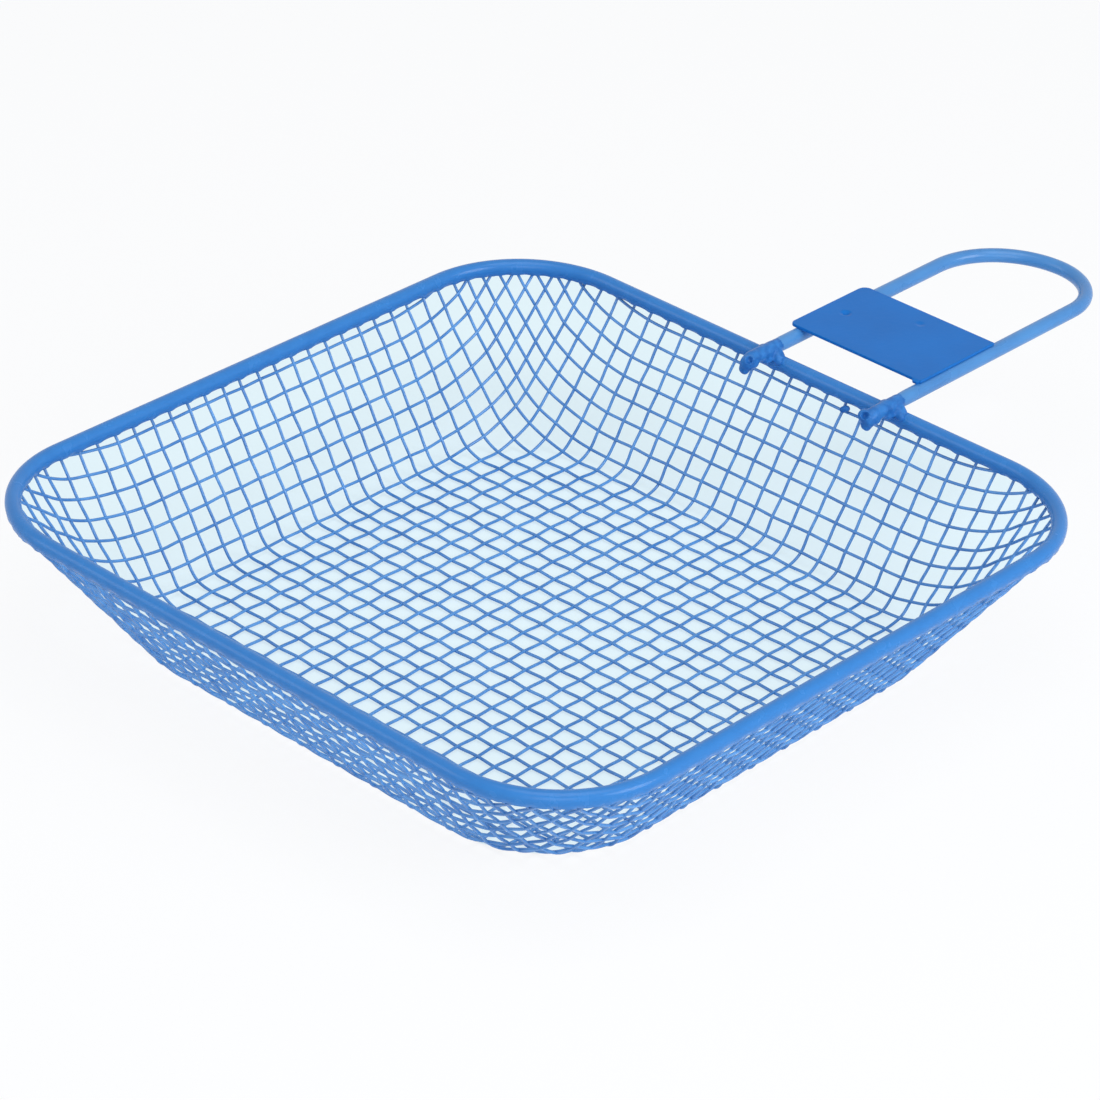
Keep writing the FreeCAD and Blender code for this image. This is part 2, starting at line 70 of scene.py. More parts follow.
def place_camera():
    """A camera that looks at the target from the fitted angles and is rolled about its view."""
    data = bpy.data.cameras.new("camera")
    data.sensor_width = 36.0
    data.lens = data.sensor_width * FOCAL_PIXELS / IMAGE_PIXELS
    data.clip_start, data.clip_end = 0.05, 20.0
    camera = bpy.data.objects.new("camera", data)
    bpy.context.scene.collection.objects.link(camera)
    back = Vector((math.sin(AZIMUTH) * math.cos(ELEVATION),
                   -math.cos(AZIMUTH) * math.cos(ELEVATION), math.sin(ELEVATION)))
    right = Vector((math.cos(AZIMUTH), math.sin(AZIMUTH), 0.0))
    up = back.cross(right)
    rolled_right = right * math.cos(ROLL) + up * math.sin(ROLL)
    rolled_up = up * math.cos(ROLL) - right * math.sin(ROLL)
    camera.location = TARGET + back * DISTANCE
    turn = Matrix((rolled_right, rolled_up, back)).transposed()
    camera.rotation_mode = "QUATERNION"
    camera.rotation_quaternion = turn.to_quaternion()
    bpy.context.scene.camera = camera


place_camera()
print("lens:", round(bpy.context.scene.camera.data.lens, 1), "mm")

# %% [markdown]
# ## Floor and light
#
# The photograph was cut out on white along the tray's outline, so the pale blue paper of the
# studio still shows through the meshes, darkened by the tray's shade. A white floor gives the
# outside. A pale blue card, cut to the outline that the tray covers from the camera, gives the
# inside. Its plain pale blue is partly the paper's own tint and partly painted shade, the tray's
# shadow on the paper. Both are seen nearly plain and still take the tray's shadow. The light is
# soft and comes mostly from the right.

# %% Colours and nodes
def colour(text):
    """An sRGB hex colour as the linear values that a shader wants."""
    channels = [int(text[n:n + 2], 16) / 255 for n in (1, 3, 5)]
    linear = [c / 12.92 if c <= 0.04045 else ((c + 0.055) / 1.055) ** 2.4 for c in channels]
    return (*linear, 1.0)


def add_node(tree, kind, settings=None, **links):
    """Add a node. Settings are its attributes; links are sockets or plain values for its inputs."""
    node = tree.nodes.new(kind)
    for name, value in (settings or {}).items():
        setattr(node, name, value)
    for name, value in links.items():
        key = int(name[1:]) if name[0] == "_" and name[1:].isdigit() else name.replace("_", " ")
        if isinstance(value, bpy.types.NodeSocket):
            tree.links.new(value, node.inputs[key])
        else:
            node.inputs[key].default_value = value
    return node


def new_material(name):
    """A material with an empty node tree, and that tree."""
    material = bpy.data.materials.new(name)
    material.use_nodes = True
    material.node_tree.nodes.clear()
    return material, material.node_tree


# %% Floor and card
def seen_plainly(tree):
    """1 on rays from the camera or off a gloss or through glass, 0 on rays that light things."""
    path = add_node(tree, "ShaderNodeLightPath")
    total = add_node(tree, "ShaderNodeMath", {"operation": "MAXIMUM"},
                     _0=path.outputs["Is Camera Ray"], _1=path.outputs["Is Glossy Ray"])
    total = add_node(tree, "ShaderNodeMath", {"operation": "MAXIMUM"},
                     _0=total.outputs[0], _1=path.outputs["Is Transmission Ray"])
    return total.outputs[0]


def make_sheet(name, outline, level, paper_shade, seen_shade, seen_share):
    """A flat sheet of paper that is lit as paper and partly seen at its plain shade."""
    data = bpy.data.meshes.new(name)
    data.from_pydata([(x, y, 0) for x, y in outline], [], [tuple(range(len(outline)))])
    sheet = bpy.data.objects.new(name, data)
    bpy.context.scene.collection.objects.link(sheet)
    sheet.location.z = level
    material, tree = new_material(f"{name}_paper")
    paper = add_node(tree, "ShaderNodeBsdfDiffuse", Color=colour(paper_shade))
    plain = add_node(tree, "ShaderNodeEmission", Color=colour(seen_shade), Strength=1.0)
    share = add_node(tree, "ShaderNodeMath", {"operation": "MULTIPLY"},
                     _0=seen_plainly(tree), _1=seen_share)
    mixed = add_node(tree, "ShaderNodeMixShader", _0=share.outputs[0],
                     _1=paper.outputs[0], _2=plain.outputs[0])
    add_node(tree, "ShaderNodeOutputMaterial", Surface=mixed.outputs[0])
    data.materials.append(material)


def rounded_square(side, radius, count=12):
    """Plan points of a square with round corners, anticlockwise, in millimetres."""
    points = []
    for quarter_turn in range(4):
        middle = quarter_turn * math.pi / 2 + math.pi / 4
        reach = (side / 2 - radius) * math.sqrt(2)
        for n in range(count + 1):
            angle = quarter_turn * math.pi / 2 + math.pi / 2 * n / count
            points.append((reach * math.cos(middle) + radius * math.cos(angle),
                           reach * math.sin(middle) + radius * math.sin(angle)))
    return points


def hull(points):
    """The convex outline of plan points, anticlockwise."""
    points = sorted(points)
    halves = []
    for run_through in (points, points[::-1]):
        half = []
        for p in run_through:
            while len(half) > 1 and ((half[-1][0] - half[-2][0]) * (p[1] - half[-2][1])
                                     <= (half[-1][1] - half[-2][1]) * (p[0] - half[-2][0])):
                half.pop()
            half.append(p)
        halves += half[:-1]
    return halves


# The rings that the card has to fill, as side, corner radius and height in millimetres: one
# under the rim's roll and one round the floor
CARD_RINGS = ((244.5, 39.0, 47.5), (185.0, 37.0, 0.8))
FLOOR_LEVEL = -0.3 * MM
CARD_LEVEL = -0.15 * MM
ROOM = 6.0


def card_outline(level):
    """The tray's outline as it falls on the floor along the lines of sight."""
    eye = bpy.context.scene.camera.location
    points = []
    for side, radius, height in CARD_RINGS:
        for x, y in rounded_square(side, radius):
            p = Vector((x, y, height)) * MM
            on_floor = eye + (p - eye) * ((eye.z - level) / (eye.z - p.z))
            points.append((on_floor.x, on_floor.y))
    return hull(points)


make_sheet("floor", [(-ROOM, -ROOM), (ROOM, -ROOM), (ROOM, ROOM), (-ROOM, ROOM)],
           FLOOR_LEVEL, "#F6FAFF", "#FFFFFF", 0.85)
# The card's plain pale blue is painted shade: the tray's shadow on the paper under and behind it
make_sheet("card", card_outline(CARD_LEVEL), CARD_LEVEL, "#E2F4FF", "#EAFBFF", 0.7)
print("floor and card, level in mm:", round(FLOOR_LEVEL / MM, 2), round(CARD_LEVEL / MM, 2))

# %% Lamps and world
TRAY_MIDDLE = Vector((0, 0, 0.03))


def make_lamp(name, place, size, power, tint):
    """A large soft lamp that looks at the middle of the tray."""
    data = bpy.data.lights.new(name, "AREA")
    data.shape = "DISK"
    data.size = size
    data.energy = power
    data.color = colour(tint)[:3]
    lamp = bpy.data.objects.new(name, data)
    bpy.context.scene.collection.objects.link(lamp)
    lamp.location = place
    lamp.rotation_mode = "QUATERNION"
    lamp.rotation_quaternion = (Vector(place) - TRAY_MIDDLE).to_track_quat("Z", "Y")


make_lamp("overhead_softbox", (-0.15, -0.35, 1.9), 1.5, 13, "#FFFFFF")
make_lamp("key_softbox", (0.35, -1.65, 0.85), 1.0, 15.5, "#FFFFFF")
make_lamp("camera_softbox", (-1.25, -1.25, 0.75), 1.2, 8, "#FFFFFF")
make_lamp("far_softbox", (-1.3, 1.1, 0.9), 1.0, 5, "#FFFFFF")


def make_world():
    """A faint bluish light from all sides that is itself seen as plain white."""
    world = bpy.data.worlds.new("white_studio")
    world.use_nodes = True
    tree = world.node_tree
    tree.nodes.clear()
    lit = add_node(tree, "ShaderNodeBackground", Color=colour("#F3F7FF"), Strength=0.35)
    seen = add_node(tree, "ShaderNodeBackground", Color=colour("#FFFFFF"), Strength=1.0)
    mixed = add_node(tree, "ShaderNodeMixShader", _0=seen_plainly(tree),
                     _1=lit.outputs[0], _2=seen.outputs[0])
    add_node(tree, "ShaderNodeOutputWorld", Surface=mixed.outputs[0])
    bpy.context.scene.world = world


make_world()
bpy.context.scene.view_settings.view_transform = "Standard"
print("lamps:", len(bpy.data.lights))

# %% [markdown]
# ## The cloth's surface
#
# The real tray starts as a flat square of woven wire cloth and is pressed over a block. The
# cloth's middle surface is a flat floor, a rounded fold and four walls that slope out to the rim.
# Every level of the wall is a rounded square, so one number, here called the climb, says how far
# up the wall a point lies: 0 at the fold and 1 at the rim's lower edge. Sizes are in millimetres
# and are those of the CAD model.

# %% Tray sizes
TRAY_SIDE = 250.0
TRAY_DEPTH = 50.0
RIM_WIDTH = 5.0
RIM_HEIGHT = 4.9
RIM_SHEET = 0.6
RIM_CORNER = 42.0
FLOOR_SIDE = 187.0
FLOOR_CORNER = 38.0
FOLD_WIDTH = 5.0
PITCH = 7.5
WIRE = 0.9
EDGE_ROW_GAP = 3.4
WALL_ROWS = 8
LAYER_GAP = 0.1

roll_radius = RIM_WIDTH / 2
roll_level = TRAY_DEPTH - roll_radius
hem_level = TRAY_DEPTH - RIM_HEIGHT
rim_line = TRAY_SIDE / 2 - roll_radius
rim_line_radius = RIM_CORNER - roll_radius
cloth_level = WIRE + LAYER_GAP / 2
floor_half = FLOOR_SIDE / 2
wall_run = rim_line - floor_half
wall_rise = hem_level - cloth_level
wall_slope = math.hypot(wall_run, wall_rise)
blend = FOLD_WIDTH / 2 / wall_run


def climb_at(x, y):
    """How far up the wall a plan point lies: below 0 on the floor, 0 at the fold, 1 at the rim."""
    x, y = abs(x), abs(y)
    flat = (max(x, y) - floor_half) / wall_run
    centre = floor_half - FLOOR_CORNER
    centre_rate = (rim_line - rim_line_radius) - centre
    radius_rate = rim_line_radius - FLOOR_CORNER
    if min(x, y) <= centre + centre_rate * flat:
        return flat
    a = 2 * centre_rate**2 - radius_rate**2
    b = -2 * centre_rate * (x + y - 2 * centre) - 2 * FLOOR_CORNER * radius_rate
    c = (x - centre)**2 + (y - centre)**2 - FLOOR_CORNER**2
    root = math.sqrt(max(b * b - 4 * a * c, 0.0))
    for climb in sorted(((-b - root) / (2 * a), (-b + root) / (2 * a))):
        level_centre = centre + centre_rate * climb - 1e-9
        if min(x, y) >= level_centre and FLOOR_CORNER + radius_rate * climb >= 0:
            return climb
    return flat


def cloth_point(x, y):
    """The cloth's middle surface over a plan point, eased over the fold."""
    climb = climb_at(x, y)
    if climb >= blend:
        eased = climb
    elif climb > -blend:
        eased = (climb + blend)**2 / (4 * blend)
    else:
        eased = 0.0
    return Vector((x, y, cloth_level + wall_rise * eased))


def cloth_normal(x, y):
    """The cloth's upward normal, from two short steps on its surface."""
    step = 0.05
    along_x = cloth_point(x + step, y) - cloth_point(x - step, y)
    along_y = cloth_point(x, y + step) - cloth_point(x, y - step)
    return along_x.cross(along_y).normalized()


print("wall: runs out", round(wall_run, 1), "mm and rises", round(wall_rise, 1), "mm")

# %% [markdown]
# ## Where the wires cross
#
# Woven cloth can't stretch along its wires, but its square cells shear to diamonds. So the
# crossings keep their spacing along both wires, which is called an equal-spacing net. It is laid
# out from the two middle wires: each new crossing is one spacing away from its two neighbours.
# That rule alone gives the long diamonds that the photograph shows in the corners. Over the fold
# two neighbours stand a little closer in a straight line than along the cloth, so the gaps are
# taken as straight lines for every row, and the rows run true up the walls.

# %% Crossings of one quarter of the tray
def wire_places(first):
    """Distances of the wires from the middle, measured along the cloth."""
    places = [first]
    while places[-1] + PITCH < floor_half - FOLD_WIDTH / 2:
        places.append(places[-1] + PITCH)
    run = floor_half + wall_slope - EDGE_ROW_GAP - places[-1]
    return places + [places[-1] + run * (n + 1) / WALL_ROWS for n in range(WALL_ROWS)]


def out_along(distance):
    """The plan distance of a point this far from the middle along the cloth."""
    if distance <= floor_half:
        return distance
    return floor_half + (distance - floor_half) * wall_run / wall_slope


def next_crossing(side_x, side_y, gap_x, gap_y, guess):
    """The point on the cloth that is gap_x from side_x and gap_y from side_y."""
    x, y = guess
    for _ in range(40):
        here = cloth_point(x, y)
        miss_x = (here - side_x).length - gap_x
        miss_y = (here - side_y).length - gap_y
        if abs(miss_x) + abs(miss_y) < 1e-5:
            break
        step = 1e-3
        moved_x, moved_y = cloth_point(x + step, y), cloth_point(x, y + step)
        xx = ((moved_x - side_x).length - gap_x - miss_x) / step
        xy = ((moved_y - side_x).length - gap_x - miss_x) / step
        yx = ((moved_x - side_y).length - gap_y - miss_y) / step
        yy = ((moved_y - side_y).length - gap_y - miss_y) / step
        det = xx * yy - xy * yx
        if abs(det) < 1e-6:
            break
        dx = (-miss_x * yy + miss_y * xy) / det
        dy = (-miss_y * xx + miss_x * yx) / det
        limit = max(1.0, math.hypot(dx, dy) / (gap_x / 3))
        x += dx / limit
        y += dy / limit
    return x, y


def straight_gaps(places):
    """Straight distances between neighbours, which are shorter than PITCH across the fold."""
    line = [cloth_point(out_along(place), 0.0) for place in places]
    return [0.0] + [(b - a).length for a, b in zip(line, line[1:])]


# %% Lay out one quarter
# A crossing may lie this far up past the hem, because the line to it shows where a wire leaves
BEYOND_HEM = 1.25
places_x = wire_places(0.0)
places_y = wire_places(PITCH / 2)
gaps_x, gaps_y = straight_gaps(places_x), straight_gaps(places_y)
quarter = {}
for i, far_x in enumerate(places_x):
    for j, far_y in enumerate(places_y):
        if i == 0 or j == 0:
            quarter[i, j] = (out_along(far_x), out_along(far_y))
            continue
        before_x, before_y = quarter.get((i - 1, j)), quarter.get((i, j - 1))
        corner = quarter.get((i - 1, j - 1))
        if before_x is None or before_y is None or corner is None:
            continue
        guess = [before_x[n] + before_y[n] - corner[n] for n in (0, 1)]
        place = next_crossing(cloth_point(*before_x), cloth_point(*before_y),
                              gaps_x[i], gaps_y[j], guess)
        if climb_at(*place) <= BEYOND_HEM:
            quarter[i, j] = place
print("crossings in one quarter:", len(quarter))

# %% [markdown]
# ## Wires as lines
#
# Each wire is first only a line through its crossings. Two facts ride on every point: the cloth's
# normal there, and whether this wire goes over or under. Real cloth is a little uneven, so each
# crossing is moved by a few hundredths of a millimetre, the same for both of its wires.

# %% Lines of the two sets of wires
UNEVEN = 0.045
LAST_CROSSING = 0.985
HEM_TUCK = 0.45
shaker = random.Random(7)
uneven = {}


def full_crossing(i, j):
    """A crossing anywhere in the tray, from the quarter that was laid out."""
    key = (abs(i), j if j >= 0 else -1 - j)
    if key not in quarter:
        return None
    if (i, j) not in uneven:
        uneven[i, j] = (shaker.gauss(0, UNEVEN), shaker.gauss(0, UNEVEN))
    x, y = quarter[key]
    nudge = uneven[i, j]
    return (x * (1 if i >= 0 else -1) + nudge[0], y * (1 if j >= 0 else -1) + nudge[1])


def to_hem(inside, outside):
    """The point between two plan points where the cloth meets the rim's lower edge."""
    low, high = 0.0, 1.0
    for _ in range(30):
        middle = (low + high) / 2
        at = [a + (b - a) * middle for a, b in zip(inside, outside)]
        if climb_at(*at) < 1:
            low = middle
        else:
            high = middle
    return [a + (b - a) * low for a, b in zip(inside, outside)]


def wire_line(steps, side):
    """Points, normals and over-or-under signs of a wire, from rim to rim."""
    known = [(i, j, full_crossing(i, j)) for i, j in steps]
    known = [entry for entry in known if entry[2] is not None]
    inner = [entry for entry in known if climb_at(*entry[2]) < LAST_CROSSING]
    first, last = known.index(inner[0]), known.index(inner[-1])
    ends = []
    for index, towards in ((first, -1), (last, 1)):
        here = known[index][2]
        if 0 <= index + towards < len(known):
            beyond = known[index + towards][2]
        else:
            previous = known[index - towards][2]
            beyond = [h + (h - p) * 2.5 for h, p in zip(here, previous)]
        ends.append(to_hem(here, beyond))
    points, normals, signs = [], [], []
    for end, towards in ((ends[0], 0), (None, None), (ends[1], 1)):
        if end is None:
            for i, j, place in inner:
                points.append(cloth_point(*place))
                normals.append(cloth_normal(*place))
                signs.append(side * (1 if (i + j) % 2 == 0 else -1))
            continue
        hem = Vector((end[0], end[1], hem_level))
        inside = hem + Vector((0, 0, HEM_TUCK))
        pair = [inside, hem] if towards == 0 else [hem, inside]
        for point in pair:
            points.append(point)
            normals.append(cloth_normal(*end))
            signs.append(0.0)
    return points, normals, signs


def lines_object(name, wires):
    """One object whose edges are the wires' centre lines."""
    vertices, edges, normals, signs = [], [], [], []
    for points, wire_normals, wire_signs in wires:
        start = len(vertices)
        vertices += [p * MM for p in points]
        normals += wire_normals
        signs += wire_signs
        edges += [(start + n, start + n + 1) for n in range(len(points) - 1)]
    data = bpy.data.meshes.new(name)
    data.from_pydata(vertices, edges, [])
    layer = data.attributes.new("cloth_normal", "FLOAT_VECTOR", "POINT")
    layer.data.foreach_set("vector", [c for normal in normals for c in normal])
    layer = data.attributes.new("over", "FLOAT", "POINT")
    layer.data.foreach_set("value", signs)
    thing = bpy.data.objects.new(name, data)
    bpy.context.scene.collection.objects.link(thing)
    return thing


# %% Both sets of wires
count_x, count_y = len(places_x), len(places_y)
cross_lines = [wire_line([(i, j) for j in range(-count_y, count_y)], -1)
               for i in range(1 - count_x, count_x)]
long_lines = [wire_line([(i, j) for i in range(1 - count_x, count_x)], 1)
              for j in range(-count_y, count_y)]
print("wires:", len(cross_lines), "across and", len(long_lines), "along")

# %% [markdown]
# ## Geometry Nodes: from lines to woven wires
#
# The tree lifts every point of a line a little along the cloth's normal, up or down in turn,
# draws a smooth curve through them and sweeps a circle along it. That is the over and under of
# plain weave. The circle swells at each crossing, where the coat gathers. Done in nodes, the
# wire's thickness, lift and swelling stay adjustable.

# %% Node tree helpers
def node_tree(name, inputs):
    """An empty geometry tree with named inputs, and its two end nodes."""
    tree = bpy.data.node_groups.new(name, "GeometryNodeTree")
    tree.interface.new_socket("Geometry", in_out="INPUT", socket_type="NodeSocketGeometry")
    for label, kind in inputs:
        tree.interface.new_socket(label, in_out="INPUT", socket_type=kind)
    tree.interface.new_socket("Geometry", in_out="OUTPUT", socket_type="NodeSocketGeometry")
    return tree, tree.nodes.new("NodeGroupInput"), tree.nodes.new("NodeGroupOutput")


def finish_tree(tree, geometry, material, end):
    """Every tree ends the same way: realize, smooth, material, out."""
    real = add_node(tree, "GeometryNodeRealizeInstances", Geometry=geometry)
    smooth = add_node(tree, "GeometryNodeSetShadeSmooth", _0=real.outputs[0])
    painted = add_node(tree, "GeometryNodeSetMaterial", Geometry=smooth.outputs[0],
                       Material=material)
    tree.links.new(painted.outputs[0], end.inputs[0])


def face_outwards(data):
    """Turn a closed mesh the right way round if its volume comes out negative."""
    work = bmesh.new()
    work.from_mesh(data)
    if work.calc_volume(signed=True) < 0:
        bmesh.ops.reverse_faces(work, faces=work.faces)
        work.to_mesh(data)
    work.free()


def plain_mesh(source, tree, values, name):
    """Run a tree on an object and keep the result as a plain mesh on a new object."""
    modifier = source.modifiers.new(tree.name, "NODES")
    modifier.node_group = tree
    for item in tree.interface.items_tree:
        if item.in_out == "INPUT" and item.name in values:
            modifier[item.identifier] = values[item.name]
    bpy.context.view_layer.update()
    evaluated = source.evaluated_get(bpy.context.evaluated_depsgraph_get())
    data = bpy.data.meshes.new_from_object(evaluated)
    source.modifiers.remove(modifier)
    face_outwards(data)
    piece = bpy.data.objects.new(name, data)
    data.name = name
    bpy.context.scene.collection.objects.link(piece)
    bpy.data.objects.remove(source)
    print(name, "triangles:", sum(len(p.vertices) - 2 for p in data.polygons))
    return piece


# %% Woven wire tree
def woven_wire_tree():
    """Lines with a normal and an over-or-under sign in, round woven wires out."""
    tree, start, end = node_tree("woven_wire", [
        ("Wire Radius", "NodeSocketFloat"), ("Gather", "NodeSocketFloat"),
        ("Lift", "NodeSocketFloat"),
        ("Sides", "NodeSocketInt"), ("Steps", "NodeSocketInt"), ("Coat", "NodeSocketMaterial")])
    line = add_node(tree, "GeometryNodeMeshToCurve", Mesh=start.outputs["Geometry"])
    normal = add_node(tree, "GeometryNodeInputNamedAttribute",
                      {"data_type": "FLOAT_VECTOR"}, Name="cloth_normal")
    over = add_node(tree, "GeometryNodeInputNamedAttribute", {"data_type": "FLOAT"}, Name="over")
    rise = add_node(tree, "ShaderNodeMath", {"operation": "MULTIPLY"},
                    _0=over.outputs["Attribute"], _1=start.outputs["Lift"])
    offset = add_node(tree, "ShaderNodeVectorMath", {"operation": "SCALE"},
                      _0=normal.outputs["Attribute"], Scale=rise.outputs[0])
    lifted = add_node(tree, "GeometryNodeSetPosition", _0=line.outputs[0],
                      Offset=offset.outputs[0])
    smooth = add_node(tree, "GeometryNodeCurveSplineType", {"spline_type": "CATMULL_ROM"},
                      Curve=lifted.outputs[0])
    fine = add_node(tree, "GeometryNodeSetSplineResolution", _0=smooth.outputs[0],
                    Resolution=start.outputs["Steps"])
    ring = add_node(tree, "GeometryNodeCurvePrimitiveCircle", {"mode": "RADIUS"},
                    Resolution=start.outputs["Sides"], Radius=start.outputs["Wire Radius"])
    # The coat gathers at the crossings, where "over" runs up to 1 or down to -1
    points = add_node(tree, "GeometryNodeResampleCurve", {"mode": "EVALUATED"},
                      Curve=fine.outputs[0])
    squared = add_node(tree, "ShaderNodeMath", {"operation": "MULTIPLY"},
                       _0=over.outputs["Attribute"], _1=over.outputs["Attribute"])
    gathered = add_node(tree, "ShaderNodeMath", {"operation": "MULTIPLY_ADD"},
                        _0=squared.outputs[0], _1=start.outputs["Gather"], _2=1.0)
    swollen = add_node(tree, "GeometryNodeSetCurveRadius", Curve=points.outputs[0],
                       Radius=gathered.outputs[0])
    tube = add_node(tree, "GeometryNodeCurveToMesh", Curve=swollen.outputs[0],
                    Profile_Curve=ring.outputs[0], Fill_Caps=True)
    finish_tree(tree, tube.outputs[0], start.outputs["Coat"], end)
    return tree

# %% [markdown]
# ## The coat
#
# The photograph shows one even blue all over: a thick powder or dip coat that has been melted
# smooth. It has a soft gloss like moulded plastic, a fine orange peel, and it gathers where wires
# meet. A metal's colour doesn't show through, so metallic stays 0 and the index stays near 1.5.

# %% Coat material
def blue_coat(name, shade, deep, roughness, specular, peel_mm, peel_height, patch_mm):
    """A melted plastic coat: slow drifts of shade, a fine orange peel and an even gloss."""
    material, tree = new_material(name)
    place = add_node(tree, "ShaderNodeTexCoord")
    drift = add_node(tree, "ShaderNodeTexNoise", {"noise_dimensions": "3D"},
                     Vector=place.outputs["Object"], Scale=1000 / patch_mm, Detail=3.0)
    share = add_node(tree, "ShaderNodeMapRange", Value=drift.outputs["Fac"],
                     From_Min=0.35, From_Max=0.65)
    tint = add_node(tree, "ShaderNodeMix", {"data_type": "RGBA"}, _0=share.outputs[0],
                    _6=colour(deep), _7=colour(shade))
    peel = add_node(tree, "ShaderNodeTexNoise", {"noise_dimensions": "3D"},
                    Vector=place.outputs["Object"], Scale=1000 / peel_mm, Detail=2.0)
    bump = add_node(tree, "ShaderNodeBump", Strength=0.5, Distance=peel_height * MM,
                    Height=peel.outputs["Fac"])
    uneven_gloss = add_node(tree, "ShaderNodeMapRange", Value=drift.outputs["Fac"],
                            To_Min=roughness - 0.06, To_Max=roughness + 0.06)
    skin = add_node(tree, "ShaderNodeBsdfPrincipled", Base_Color=tint.outputs[2],
                    Roughness=uneven_gloss.outputs[0], IOR=1.5, Specular_IOR_Level=specular,
                    Normal=bump.outputs[0])
    add_node(tree, "ShaderNodeOutputMaterial", Surface=skin.outputs[0])
    return material


# The coat is one blue, yet each piece gets its own base blue. The sheet plate, the rim and the coat
# over the welds are darker, which is painted shade of their upward faces. The handle wire is
# lighter, which is painted light on the sides it turns to the lamps.
cloth_coat = blue_coat("melted_coat_on_wire_cloth", "#5898D8", "#4080C4", 0.22, 0.45, 0.9, 0.04,
                       9.0)
rim_coat_painted_shade = blue_coat("melted_coat_on_folded_strip", "#347FC8", "#317BC4", 0.26, 0.26, 1.3, 0.05,
                     6.0)
handle_coat_painted_light = blue_coat("melted_coat_on_handle_wire", "#4A8CCB", "#4282C2", 0.28, 0.4, 1.3, 0.05,
                        20.0)
plate_coat_painted_shade = blue_coat("melted_coat_on_sheet_plate", "#1872C6", "#146CBE", 0.36, 0.12, 1.6, 0.06,
                       24.0)
weld_coat_painted_shade = blue_coat("melted_coat_over_welds", "#347CC6", "#2466B0", 0.36, 0.2, 1.0, 0.1, 2.4)


def drawn_wire(name):
    """Bare galvanised wire: grey metal with fine scratches and cloudy dull patches."""
    material, tree = new_material(name)
    place = add_node(tree, "ShaderNodeTexCoord")
    cloud = add_node(tree, "ShaderNodeTexNoise", {"noise_dimensions": "3D"},
                     Vector=place.outputs["Object"], Scale=1000 / 3.0, Detail=4.0)
    tint = add_node(tree, "ShaderNodeMix", {"data_type": "RGBA"}, _0=cloud.outputs["Fac"],
                    _6=colour("#8E9396"), _7=colour("#B9BEC0"))
    scratch = add_node(tree, "ShaderNodeTexNoise", {"noise_dimensions": "3D"},
                       Vector=place.outputs["Object"], Scale=1000 / 0.3, Detail=2.0)
    bump = add_node(tree, "ShaderNodeBump", Strength=0.3, Distance=0.01 * MM,
                    Height=scratch.outputs["Fac"])
    dull = add_node(tree, "ShaderNodeMapRange", Value=cloud.outputs["Fac"],
                    To_Min=0.35, To_Max=0.55)
    skin = add_node(tree, "ShaderNodeBsdfPrincipled", Base_Color=tint.outputs[2], Metallic=1.0,
                    Roughness=dull.outputs[0], Normal=bump.outputs[0])
    add_node(tree, "ShaderNodeOutputMaterial", Surface=skin.outputs[0])
    return material


bare_wire = drawn_wire("galvanised_stiffening_wire")
# The stiffening wire is the one CAD solid that stays in the dressed tray
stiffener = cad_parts["rim_stiffener"].data
stiffener.materials.clear()
stiffener.materials.append(bare_wire)
print("finishes:", [material.name for material in bpy.data.materials if "coat" in material.name])

# %% Weave both sets of wires
COAT_SWELL = 1.1
COAT_GATHER = 0.32
CRIMP = 0.19
weave = woven_wire_tree()
for label, lines, count in (("cross", cross_lines, 21), ("long", long_lines, 20)):
    source = lines_object(f"{label}_lines", lines)
    piece = plain_mesh(source, weave, {
        "Wire Radius": WIRE / 2 * COAT_SWELL * MM, "Gather": COAT_GATHER,
        "Lift": WIRE * CRIMP * MM, "Sides": 9, "Steps": 5,
        "Coat": cloth_coat}, f"woven_{label}_wires")
    first = 0 if label == "cross" else 1
    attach(piece, "root")
    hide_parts(*[f"{label}_wire_{n:02d}" for n in range(first, first + count)])

# %% [markdown]
# ## The rim
#
# A strip of sheet is folded over a stiffening wire and squeezed on to the cloth's edge by
# rollers. The roll on top stays round. The two flanges below it take a bump over every wire end
# and are pressed in between them. A section swept along a rounded square gives the strip, and
# the distance to the nearest wire end, measured by the tree itself, gives the bumps.

# %% Strip section and wire ends
HEM_CLEARANCE = 0.2


def strip_section():
    """Outline of the strip, seen along the rim: x is outwards and y is up, in millimetres."""
    hem_inner = WIRE + HEM_CLEARANCE
    drop = RIM_HEIGHT - roll_radius
    outer = [(roll_radius * math.cos(a), roll_radius * math.sin(a))
             for a in [math.pi * n / 14 for n in range(15)]]
    bore = roll_radius - RIM_SHEET
    inner = [(bore * math.cos(a), bore * math.sin(a))
             for a in [math.pi * n / 8 for n in range(9)]]
    left = [(-2.46, -0.5), (-2.34, -1.0), (-2.20, -1.5), (-hem_inner - RIM_SHEET, 0.35 - drop),
            (-hem_inner - RIM_SHEET + 0.02, 0.12 - drop), (-hem_inner - RIM_SHEET * 0.8, -drop),
            (-hem_inner - 0.08, -drop), (-hem_inner, 0.1 - drop)]
    lining_left = [(-1.45, -1.5), (-1.75, -0.7)]
    lining_right = [(1.75, -0.7), (1.45, -1.5)]
    right = [(-x, y) for x, y in reversed(left)]
    outline = outer + left + lining_left + inner[::-1] + lining_right + right
    # A swept section's y points down, so it is turned over here
    return [(x, -y) for x, y in reversed(outline)]


def outline_object(name, points):
    """One object whose edges are a closed outline."""
    data = bpy.data.meshes.new(name)
    edges = [(n, (n + 1) % len(points)) for n in range(len(points))]
    data.from_pydata([Vector((*p, 0)) * MM for p in points], edges, [])
    thing = bpy.data.objects.new(name, data)
    bpy.context.scene.collection.objects.link(thing)
    return thing


